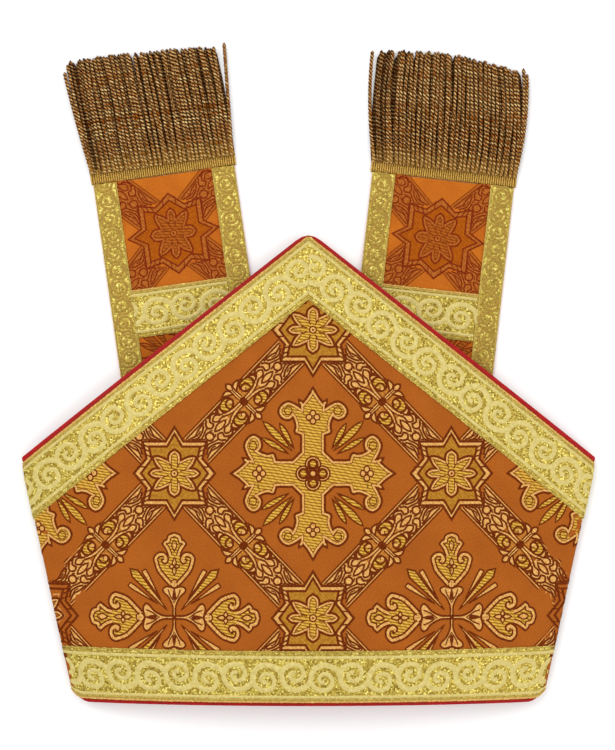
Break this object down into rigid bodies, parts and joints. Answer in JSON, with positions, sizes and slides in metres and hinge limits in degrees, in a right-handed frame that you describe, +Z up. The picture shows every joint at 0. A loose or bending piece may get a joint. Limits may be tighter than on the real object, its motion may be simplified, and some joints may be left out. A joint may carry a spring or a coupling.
{
  "type": "bishop mitre",
  "caption": "Bishop's mitre of orange brocade with gold galloon and red lining, lying folded flat, front up, its fringed lappets turned up behind it and out past the upper edges.",
  "frame": {"origin": "under the middle of the whole mitre as it lies, on the surface it lies on", "axes": "+X across the front to the right as it is seen, +Y from the base edge to the peak, +Z up out of the front"},
  "size_m": [0.3664, 0.4194, 0.0325],
  "materials": {
    "orange_brocade": "woven brocade, soft satin sheen, raised gold figures outlined in maroon",
    "lappet_brocade": "the same brocade cut crosswise, its figures copper",
    "red_lining": "plain satin lining",
    "wide_galloon": "metallic gold braid with cream scrolls and glittering ground",
    "narrow_galloon": "metallic gold braid with a fine scroll",
    "bullion_fringe": "twisted dark brown strands wound with gold"
  },
  "bodies": {
    "root": {"front_panel": "orange_brocade", "back_panel": "orange_brocade", "front_lining": "red_lining", "back_lining": "red_lining", "gusset": "red_lining", "front_trim_left": "wide_galloon", "front_trim_right": "wide_galloon", "front_base_trim": "wide_galloon", "back_trim_left": "wide_galloon", "back_trim_right": "wide_galloon", "back_base_trim": "wide_galloon", "left_lappet": "lappet_brocade", "left_outer_trim": "narrow_galloon", "left_inner_trim": "narrow_galloon", "left_cross_trim": "wide_galloon", "left_fringe_heading": "bullion_fringe", "left_fringe": "bullion_fringe", "right_lappet": "lappet_brocade", "right_outer_trim": "narrow_galloon", "right_inner_trim": "narrow_galloon", "right_cross_trim": "wide_galloon", "right_fringe_heading": "bullion_fringe", "right_fringe": "bullion_fringe"}
  },
  "joints": []
}
